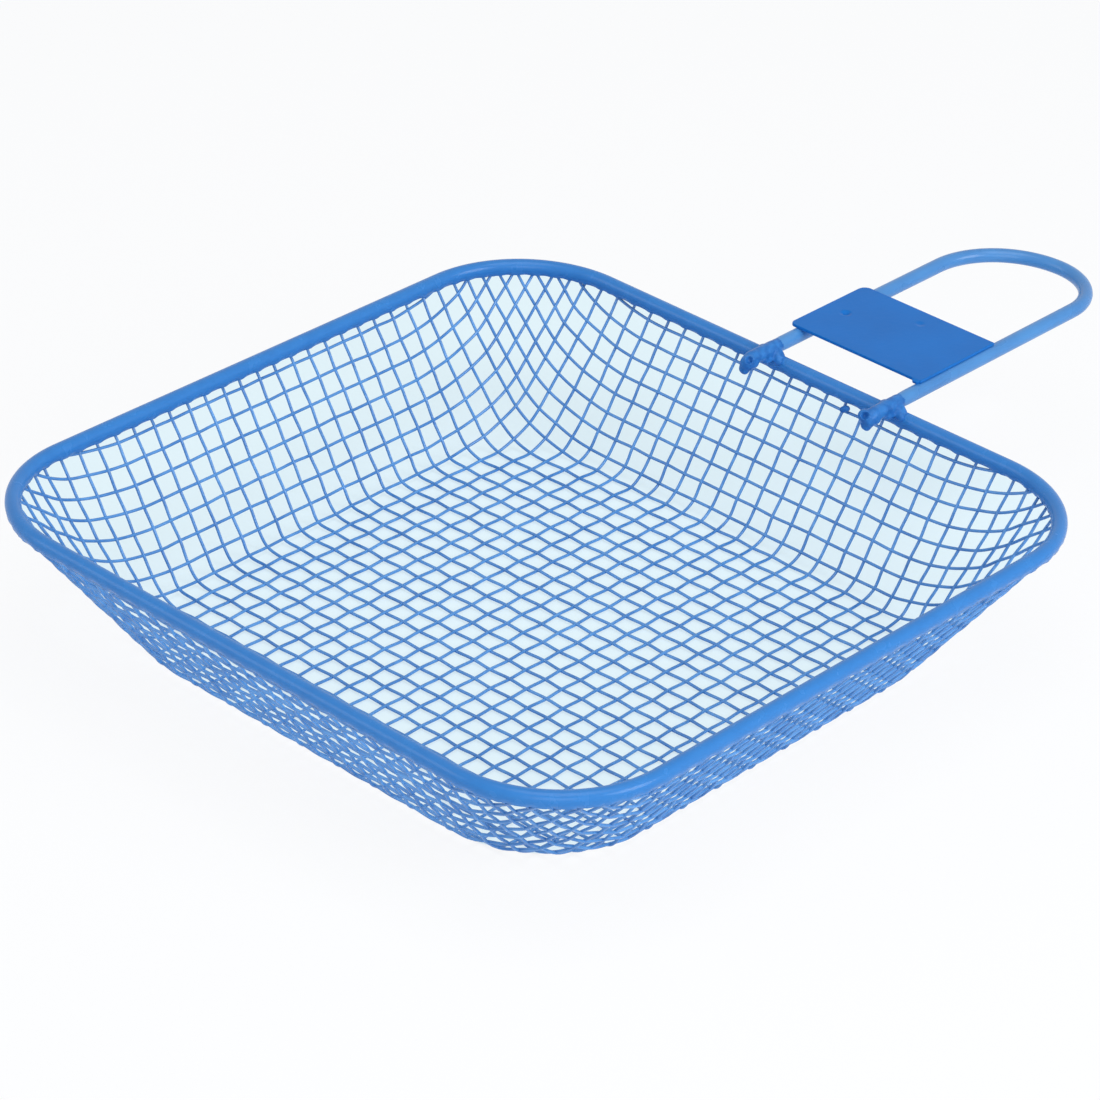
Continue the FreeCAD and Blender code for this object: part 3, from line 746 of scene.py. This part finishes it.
wire_ends = [line[0][end] for line in cross_lines + long_lines for end in (1, -2)]
ends_mesh = bpy.data.meshes.new("wire_ends")
ends_mesh.from_pydata([Vector((p.x, p.y, 0)) * MM for p in wire_ends], [], [])
ends_object = bpy.data.objects.new("wire_ends", ends_mesh)
bpy.context.scene.collection.objects.link(ends_object)
section_object = outline_object("strip_section", strip_section())
print("wire ends at the rim:", len(wire_ends))


# %% Crimped rim tree
RIM_STATION = 0.9
BUMP = 0.55
BUMP_WIDTH = 1.5
# Between two wire ends the flange is pressed in by this share of a bump
PRESSED_IN = 0.55
FLANGE_TOP = -0.4


def crimped_rim_tree():
    """A section and the places of the wire ends in, a folded and crimped strip out."""
    tree, start, end = node_tree("crimped_rim", [
        ("Side", "NodeSocketFloat"), ("Corner Radius", "NodeSocketFloat"),
        ("Level", "NodeSocketFloat"), ("Station", "NodeSocketFloat"),
        ("Section", "NodeSocketObject"), ("Wire Ends", "NodeSocketObject"),
        ("Bump", "NodeSocketFloat"), ("Bump Width", "NodeSocketFloat"),
        ("Flange Top", "NodeSocketFloat"), ("Flange Foot", "NodeSocketFloat"),
        ("Coat", "NodeSocketMaterial")])
    square = add_node(tree, "GeometryNodeCurvePrimitiveQuadrilateral", {"mode": "RECTANGLE"},
                      Width=start.outputs["Side"], Height=start.outputs["Side"])
    rounded = add_node(tree, "GeometryNodeFilletCurve", {"mode": "POLY"}, Curve=square.outputs[0],
                       Radius=start.outputs["Corner Radius"], Count=40, Limit_Radius=True)
    even = add_node(tree, "GeometryNodeResampleCurve", {"mode": "LENGTH"},
                    Curve=rounded.outputs[0], Length=start.outputs["Station"])
    centre = add_node(tree, "GeometryNodeInputPosition")
    tangent = add_node(tree, "GeometryNodeInputTangent")
    keep_centre = add_node(tree, "GeometryNodeCaptureAttribute", {"domain": "POINT"})
    keep_centre.capture_items.new("VECTOR", "Centre")
    keep_centre.capture_items.new("VECTOR", "Along")
    tree.links.new(even.outputs[0], keep_centre.inputs[0])
    tree.links.new(centre.outputs[0], keep_centre.inputs[1])
    tree.links.new(tangent.outputs[0], keep_centre.inputs[2])
    section = add_node(tree, "GeometryNodeObjectInfo", Object=start.outputs["Section"])
    profile = add_node(tree, "GeometryNodeMeshToCurve", Mesh=section.outputs["Geometry"])
    strip = add_node(tree, "GeometryNodeCurveToMesh", Curve=keep_centre.outputs[0],
                     Profile_Curve=profile.outputs[0])
    # Outwards is across the rim's line; the bump follows the side of the strip a point is on
    across = add_node(tree, "ShaderNodeVectorMath", {"operation": "CROSS_PRODUCT"},
                      _0=keep_centre.outputs[2], _1=(0, 0, 1))
    here = add_node(tree, "GeometryNodeInputPosition")
    away = add_node(tree, "ShaderNodeVectorMath", {"operation": "SUBTRACT"},
                    _0=here.outputs[0], _1=keep_centre.outputs[1])
    side = add_node(tree, "ShaderNodeVectorMath", {"operation": "DOT_PRODUCT"},
                    _0=away.outputs[0], _1=across.outputs[0])
    hand = add_node(tree, "ShaderNodeMath", {"operation": "SIGN"}, _0=side.outputs["Value"])
    height = add_node(tree, "ShaderNodeSeparateXYZ", Vector=away.outputs[0])
    low = add_node(tree, "ShaderNodeMapRange", Value=height.outputs[2],
                   From_Min=start.outputs["Flange Top"], From_Max=start.outputs["Flange Foot"])
    ends = add_node(tree, "GeometryNodeObjectInfo", Object=start.outputs["Wire Ends"])
    flat = add_node(tree, "ShaderNodeVectorMath", {"operation": "MULTIPLY"},
                    _0=keep_centre.outputs[1], _1=(1, 1, 0))
    near = add_node(tree, "GeometryNodeProximity", {"target_element": "POINTS"},
                    _0=ends.outputs["Geometry"], Sample_Position=flat.outputs[0])
    ratio = add_node(tree, "ShaderNodeMath", {"operation": "DIVIDE"},
                     _0=near.outputs["Distance"], _1=start.outputs["Bump Width"])
    square_ratio = add_node(tree, "ShaderNodeMath", {"operation": "MULTIPLY"},
                            _0=ratio.outputs[0], _1=ratio.outputs[0])
    negative = add_node(tree, "ShaderNodeMath", {"operation": "MULTIPLY"},
                        _0=square_ratio.outputs[0], _1=-1.0)
    bell = add_node(tree, "ShaderNodeMath", {"operation": "EXPONENT"}, _0=negative.outputs[0])
    push = add_node(tree, "ShaderNodeMath", {"operation": "SUBTRACT"},
                    _0=bell.outputs[0], _1=PRESSED_IN)
    scaled = add_node(tree, "ShaderNodeMath", {"operation": "MULTIPLY"},
                      _0=push.outputs[0], _1=start.outputs["Bump"])
    weighted = add_node(tree, "ShaderNodeMath", {"operation": "MULTIPLY"},
                        _0=scaled.outputs[0], _1=low.outputs[0])
    signed = add_node(tree, "ShaderNodeMath", {"operation": "MULTIPLY"},
                      _0=weighted.outputs[0], _1=hand.outputs[0])
    offset = add_node(tree, "ShaderNodeVectorMath", {"operation": "SCALE"},
                      _0=across.outputs[0], Scale=signed.outputs[0])
    crimped = add_node(tree, "GeometryNodeSetPosition", _0=strip.outputs[0],
                       Offset=offset.outputs[0])
    lift = add_node(tree, "ShaderNodeCombineXYZ", Z=start.outputs["Level"])
    raised = add_node(tree, "GeometryNodeTransform", _0=crimped.outputs[0],
                      Translation=lift.outputs[0])
    finish_tree(tree, raised.outputs[0], start.outputs["Coat"], end)
    return tree


# %% Make the rim
seed = bpy.data.objects.new("rim_seed", bpy.data.meshes.new("rim_seed"))
bpy.context.scene.collection.objects.link(seed)
rim = plain_mesh(seed, crimped_rim_tree(), {
    "Side": 2 * rim_line * MM, "Corner Radius": rim_line_radius * MM, "Level": roll_level * MM,
    "Station": RIM_STATION * MM, "Section": section_object, "Wire Ends": ends_object,
    "Bump": BUMP * MM, "Bump Width": BUMP_WIDTH * MM, "Flange Top": FLANGE_TOP * MM,
    "Flange Foot": (roll_radius - RIM_HEIGHT) * MM, "Coat": rim_coat_painted_shade}, "crimped_rim")
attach(rim, "root")
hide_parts("rim_channel")
for helper in (section_object, ends_object):
    bpy.data.objects.remove(helper)

# %% [markdown]
# ## Tubes along a smooth line
#
# The handle is one wire bent to a loop. A curve with a round bevel would do, but the real coat is
# thicker where it ran together, so the wire is swept here ring by ring and each ring may be
# scaled. The rings are kept square to the line by carrying one direction along it.

# %% Sweep helper
def mesh_piece(name, vertices, faces, coat, replaced):
    """A finished piece from points in millimetres, in place of the named CAD nodes."""
    data = bpy.data.meshes.new(name)
    data.from_pydata([Vector(v) * MM for v in vertices], [], faces)
    data.validate()
    face_outwards(data)
    data.shade_smooth()
    data.materials.append(coat)
    piece = bpy.data.objects.new(name, data)
    bpy.context.scene.collection.objects.link(piece)
    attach(piece, "root")
    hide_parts(*replaced)
    print(name, "triangles:", sum(len(p.vertices) - 2 for p in data.polygons))


def tube(line, radii, sides=20):
    """Vertices and faces of a closed round bar whose ends are rounded off."""
    vertices, faces = [], []
    tangents = [(line[min(n + 1, len(line) - 1)] - line[max(n - 1, 0)]).normalized()
                for n in range(len(line))]
    aside = Vector((0, 1, 0))
    for centre, tangent, radius in zip(line, tangents, radii):
        aside = (aside - tangent * aside.dot(tangent)).normalized()
        third = tangent.cross(aside)
        for n in range(sides):
            angle = 2 * math.pi * n / sides
            vertices.append(centre + (aside * math.cos(angle) + third * math.sin(angle)) * radius)
    for ring in range(len(line) - 1):
        for n in range(sides):
            a, b = ring * sides + n, ring * sides + (n + 1) % sides
            faces.append((a, b, b + sides, a + sides))
    for ring, point in ((0, line[0]), (len(line) - 1, line[-1])):
        vertices.append(point)
        tip = len(vertices) - 1
        for n in range(sides):
            a, b = ring * sides + n, ring * sides + (n + 1) % sides
            faces.append((a, b, tip) if ring else (b, a, tip))
    return vertices, faces

# %% [markdown]
# ## The handle
#
# Both legs lie across the rim and their ends turn down inside the tray. The wire is drawn thin
# inside the last few millimetres, because the coat over the welds gives the tips their shape.
# Measured on the photograph once more, the wire is thicker than in the CAD (4.8 mm, not 4.2),
# lies 0.5 mm lower and its loop ends 1 mm nearer to the tray, so it is drawn that way.

# %% Handle sizes and line
HANDLE_WIRE = 4.8
LEG_SPACING = 50.0
HANDLE_SHIFT = -12.5
HANDLE_REACH = 110.2
FAR_BEND = 28.6
LEG_INSET = 12.5
TIP_BEND = 4.0
TIP_ANGLE = math.radians(60)
LEG_SINK = 0.7
# The wire's share of its full thickness: so much up to this run from its tip, then fading to 1
TIP_SHARE, TIP_RUN, TIP_FADE = 0.22, 3.5, 3.0
COVERED_SHARE, COVERED_RUN, COVERED_FADE = 0.88, 14.5, 4.0

wire_radius = HANDLE_WIRE / 2
leg_level = TRAY_DEPTH - LEG_SINK + wire_radius
far_y, near_y = HANDLE_SHIFT + LEG_SPACING / 2, HANDLE_SHIFT - LEG_SPACING / 2
tip_x = TRAY_SIDE / 2 - LEG_INSET
loop_end_x = TRAY_SIDE / 2 + HANDLE_REACH


def half_handle(y, bend, hand):
    """One leg from its tip to the loop's far end; hand is +1 on the far leg."""
    half = [Vector((tip_x - TIP_BEND * math.sin(a), y, leg_level - TIP_BEND * (1 - math.cos(a))))
            for a in (TIP_ANGLE * n / 9 for n in range(9, -1, -1))]
    half += [Vector((tip_x + (loop_end_x - bend - tip_x) * n / 40, y, leg_level))
             for n in range(1, 40)]
    half += [Vector((loop_end_x - bend + bend * math.sin(a), y - hand * bend * (1 - math.cos(a)),
                     leg_level)) for a in (math.pi / 2 * n / 24 for n in range(25))]
    return half


def handle_line():
    """The whole wire, from the far leg's tip round the loop to the near leg's tip."""
    far = half_handle(far_y, FAR_BEND, 1)
    near = half_handle(near_y, LEG_SPACING - FAR_BEND, -1)
    return far + near[-2::-1]


def rising(at, start, run, low):
    """A share that is low up to the start and rises to 1 over the run after it."""
    return low + (1 - low) * min(1.0, max(0.0, (at - start) / run))


# %% Make the handle
line = handle_line()
run = [0.0]
for a, b in zip(line, line[1:]):
    run.append(run[-1] + (b - a).length)
radii = []
for at in run:
    end = min(at, run[-1] - at)
    # Inside the coat of the tip the wire itself thins out, so that the pit shows only coat.
    # As far as the coat over the welds reaches, the wire keeps a little below that coat.
    radii.append(wire_radius * rising(end, TIP_RUN, TIP_FADE, TIP_SHARE)
                 * rising(end, COVERED_RUN, COVERED_FADE, COVERED_SHARE))
vertices, faces = tube(line, radii)
mesh_piece("handle_wire", vertices, faces, handle_coat_painted_light, ["handle_loop"])

# %% [markdown]
# ## The thumb plate
#
# A flat sheet lies on both legs and is spot welded to them. It ends on top of the near leg and
# stands out past the far one. Its two corners on that side are rounded, the welding tongs left
# two small round marks in it, and the coat softens every edge. The sheet is a fine grid, so that
# the marks are real hollows, and its thickness comes from a Solidify modifier. It is drawn 1 mm
# thick, so that it reaches down to the legs, which lie lower than in the CAD.

# %% Plate
PLATE_START = 9.4
PLATE_LENGTH = 37.5
PLATE_SHEET = 1.0
PLATE_SEAT = 0.1
PLATE_OVER_NEAR = 0.3
PLATE_OVER_FAR = 3.4
PLATE_CORNER = 3.0
PLATE_TRAY_CORNER = 1.8
PLATE_FILLET = 1.1
FILLET_FROM_LEG = 0.4
FILLET_SLOPE = 0.3
COAT_EDGE = 0.22
# Each mark as its place, its half width and its depth; a higher flank makes its walls steeper
WELD_MARKS = [((152.6, 7.7), 1.35, 0.75), ((164.4, -13.5), 1.2, 0.25)]
MARK_FLANK = 1.6
plate_top = leg_level + wire_radius + PLATE_SEAT + PLATE_SHEET


def rounded_off(y, edge, radius):
    """How far a corner of this radius draws the sheet's end in at this place across it."""
    beside = max(0.0, y - (edge - radius))
    return radius - math.sqrt(max(0.0, radius**2 - beside**2))


def fillet_reach(y):
    """Coat that filled the corner between the sheet's tray end and the near leg."""
    beside = max(0.0, y - near_y - wire_radius)
    if beside >= PLATE_FILLET or y < near_y + FILLET_FROM_LEG:
        return 0.0
    return PLATE_FILLET - math.sqrt(PLATE_FILLET**2 - (PLATE_FILLET - beside)**2)


def plate_grid(step=0.42):
    """The top skin: a grid whose outline is drawn in at the rounded corners."""
    low_x, low_y = TRAY_SIDE / 2 + PLATE_START, near_y - PLATE_OVER_NEAR
    high_y = far_y + PLATE_OVER_FAR
    across, along = round((high_y - low_y) / step), round(PLATE_LENGTH / step)
    vertices, faces = [], []
    for n in range(across + 1):
        y = low_y + (high_y - low_y) * n / across
        loop_inset = rounded_off(y, high_y, PLATE_CORNER)
        tray_inset = rounded_off(y, high_y, PLATE_TRAY_CORNER) - fillet_reach(y)
        for m in range(along + 1):
            x = low_x + tray_inset + (PLATE_LENGTH - tray_inset - loop_inset) * m / along
            z = plate_top - FILLET_SLOPE * max(0.0, low_x - x)
            for (mark_x, mark_y), width, depth in WELD_MARKS:
                away = math.hypot(x - mark_x, y - mark_y) / width
                z -= depth * math.exp(-(away * away) ** MARK_FLANK)
            vertices.append(Vector((x, y, z)))
    row = along + 1
    for n in range(across):
        for m in range(along):
            a = n * row + m
            faces.append((a, a + 1, a + 1 + row, a + row))
    return vertices, faces


def soften(piece, width, segments=2, angle=35):
    """Bevel the piece's sharp edges, as a melted coat does, and keep the result as its mesh."""
    bevel = piece.modifiers.new("coat_edge", "BEVEL")
    bevel.width = width * MM
    bevel.segments = segments
    bevel.limit_method = "ANGLE"
    bevel.angle_limit = math.radians(angle)
    keep_result(piece)


def keep_result(piece):
    """Make the result of the piece's modifiers its own mesh."""
    evaluated = piece.evaluated_get(bpy.context.evaluated_depsgraph_get())
    piece.data = bpy.data.meshes.new_from_object(evaluated)
    piece.modifiers.clear()
    piece.data.shade_smooth()


# %% Make the plate
vertices, faces = plate_grid()
data = bpy.data.meshes.new("thumb_plate_sheet")
data.from_pydata([v * MM for v in vertices], [], faces)
data.materials.append(plate_coat_painted_shade)
plate = bpy.data.objects.new("thumb_plate_sheet", data)
bpy.context.scene.collection.objects.link(plate)
thick = plate.modifiers.new("sheet", "SOLIDIFY")
thick.thickness = PLATE_SHEET * MM
thick.offset = -1.0
keep_result(plate)
face_outwards(plate.data)
soften(plate, COAT_EDGE)
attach(plate, "root")
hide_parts("thumb_plate")
print("plate triangles:", sum(len(p.vertices) - 2 for p in plate.data.polygons))

# %% [markdown]
# ## Coat over the welds
#
# Each leg is welded to the rim, and the coat ran together over the weld. In the photograph the
# leg has no outline of its own there: it sinks into soft lumps, and each tip ends in a small dark
# pit with a drop below it. Those shapes have no edges, so they are modelled the way they formed.
# Round lumps overlap, a voxel Remesh modifier melts them into one skin, a Smooth modifier lets it
# flow, and the pits are pressed into the result.

# %% Lumps of coat
def ball(centre, radii, sides=20, rings=12):
    """A closed, possibly flattened ball."""
    centre, radii = Vector(centre), Vector(radii)
    vertices = [centre + Vector((0, 0, radii.z))]
    for ring in range(1, rings):
        a = math.pi * ring / rings
        for n in range(sides):
            b = 2 * math.pi * n / sides
            vertices.append(centre + Vector((radii.x * math.sin(a) * math.cos(b),
                                             radii.y * math.sin(a) * math.sin(b),
                                             radii.z * math.cos(a))))
    vertices.append(centre - Vector((0, 0, radii.z)))
    last = len(vertices) - 1
    faces = [(0, 1 + n, 1 + (n + 1) % sides) for n in range(sides)]
    for ring in range(rings - 2):
        for n in range(sides):
            a, b = 1 + ring * sides + n, 1 + ring * sides + (n + 1) % sides
            faces.append((a, a + sides, b + sides, b))
    low = last - sides
    faces += [(last, low + (n + 1) % sides, low + n) for n in range(sides)]
    return vertices, faces


SLEEVE_PAST_RIM = 3.5
SLEEVE_FADE = 3.5
SLEEVE_UNDER_SKIN = 0.3
COAT_OVER_LEG = 0.05
TIP_ROUNDING = 1.6
TIP_BLUNTNESS = 0.45


def coat_sleeve(y):
    """The coat round a leg from its tip to just past the rim, fading into the leg's own skin."""
    stations = half_handle(y, FAR_BEND, 1)
    stations = [p for p in stations if p.x < TRAY_SIDE / 2 + SLEEVE_PAST_RIM]
    length = [0.0]
    for a, b in zip(stations, stations[1:]):
        length.append(length[-1] + (b - a).length)
    thick = []
    for at in length:
        tip = math.sqrt(max(0.0, 1 - (1 - min(at, TIP_ROUNDING) / TIP_ROUNDING)**2))
        fade = min(1.0, (length[-1] - at) / SLEEVE_FADE)
        thick.append((wire_radius - SLEEVE_UNDER_SKIN + (SLEEVE_UNDER_SKIN + COAT_OVER_LEG) * fade)
                     * (TIP_BLUNTNESS + (1 - TIP_BLUNTNESS) * tip))
    return tube(stations, thick, 24)


# Lumps as (x, y from the leg, z) and half sizes, in millimetres
RIM_LUMPS = [
    ((121.9, 0.0, 49.7), (2.8, 5.4, 2.5)), ((120.8, 1.6, 50.4), (2.5, 3.2, 2.3)),
    ((122.4, -1.4, 50.2), (1.9, 2.9, 2.2)), ((118.4, -0.4, 49.8), (2.5, 2.4, 2.2)),
    ((120.4, 3.6, 48.9), (1.3, 2.2, 1.5)), ((120.5, -4.0, 49.0), (1.2, 1.8, 1.4))]
TIP_LUMPS = [((109.7, 0.0, 50.4), (2.1, 2.5, 2.4)), ((109.3, 0.5, 48.8), (1.6, 2.0, 2.0)),
             ((111.6, -0.9, 50.6), (2.0, 2.0, 1.9))]
NEAR_DROP = [((119.4, 17.6, 43.4), (1.3, 1.3, 1.2)), ((119.9, 16.6, 44.0), (1.1, 1.2, 1.0))]
# Each pit as its place, the way it opens, its half width and its depth
PITS = {near_y: ((108.1, -37.1, 52.6), (-0.64, -0.50, 0.58), 1.3, 1.6),
        far_y: ((108.8, 10.9, 52.8), (-0.64, -0.50, 0.58), 1.3, 1.6)}
PIT_LUMPS = {near_y: ((109.4, 1.6, 51.6), (2.1, 2.1, 2.1)),
             far_y: ((110.0, -0.5, 51.8), (2.0, 2.0, 2.0))}


def melted(name, parts, voxel=0.32):
    """Join closed parts, melt them into one skin and let it flow."""
    vertices, faces = [], []
    for part_vertices, part_faces in parts:
        first = len(vertices)
        vertices += part_vertices
        faces += [tuple(first + n for n in face) for face in part_faces]
    data = bpy.data.meshes.new(name)
    data.from_pydata([v * MM for v in vertices], [], faces)
    face_outwards(data)
    piece = bpy.data.objects.new(name, data)
    bpy.context.scene.collection.objects.link(piece)
    remesh = piece.modifiers.new("melt", "REMESH")
    remesh.mode = "VOXEL"
    remesh.voxel_size = voxel * MM
    flow = piece.modifiers.new("flow", "SMOOTH")
    flow.factor, flow.iterations = 0.5, 8
    keep_result(piece)
    return piece


# A pit is felt as far as this many half widths; its lip stands a little outside its edge
PIT_REACH = 1.6
LIP_HEIGHT, LIP_PLACE, LIP_WIDTH = 0.22, 1.15, 0.25


def press_pits(data, pits):
    """Press a round pit with a raised lip into the skin at each place."""
    for place, opening, width, depth in pits:
        place, opening = Vector(place) * MM, Vector(opening).normalized()
        for vertex in data.vertices:
            away = (vertex.co - place).length / (width * MM)
            if away < PIT_REACH:
                # A raised lip stands round the hollow, as surface tension leaves it
                hollow = max(0.0, 1 - away * away)
                lip = LIP_HEIGHT * math.exp(-((away - LIP_PLACE) / LIP_WIDTH)**2)
                vertex.co += opening * (lip - hollow * depth) * MM


# %% Melt the lumps and press the pits
SKIN_WAVE_HEIGHT = 0.12
SKIN_WAVE_LENGTH = 1.6
parts = []
for y in (near_y, far_y):
    lumps = RIM_LUMPS + TIP_LUMPS + [PIT_LUMPS[y]] + (NEAR_DROP if y == near_y else [])
    parts.append(coat_sleeve(y))
    parts += [ball((x, y + aside, z), sizes) for (x, aside, z), sizes in lumps]
coat_over_welds = melted("coat_over_welds", parts)
press_pits(coat_over_welds.data, PITS.values())
normals = [vertex.normal.copy() for vertex in coat_over_welds.data.vertices]
for vertex, normal in zip(coat_over_welds.data.vertices, normals):
    wave = noise.noise(vertex.co / (SKIN_WAVE_LENGTH * MM))
    vertex.co += normal * SKIN_WAVE_HEIGHT * MM * wave
face_outwards(coat_over_welds.data)
coat_over_welds.data.shade_smooth()
coat_over_welds.data.materials.clear()
coat_over_welds.data.materials.append(weld_coat_painted_shade)
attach(coat_over_welds, "root")
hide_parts("handle_welds")
print("weld coat triangles:", sum(len(p.vertices) - 2 for p in coat_over_welds.data.polygons))
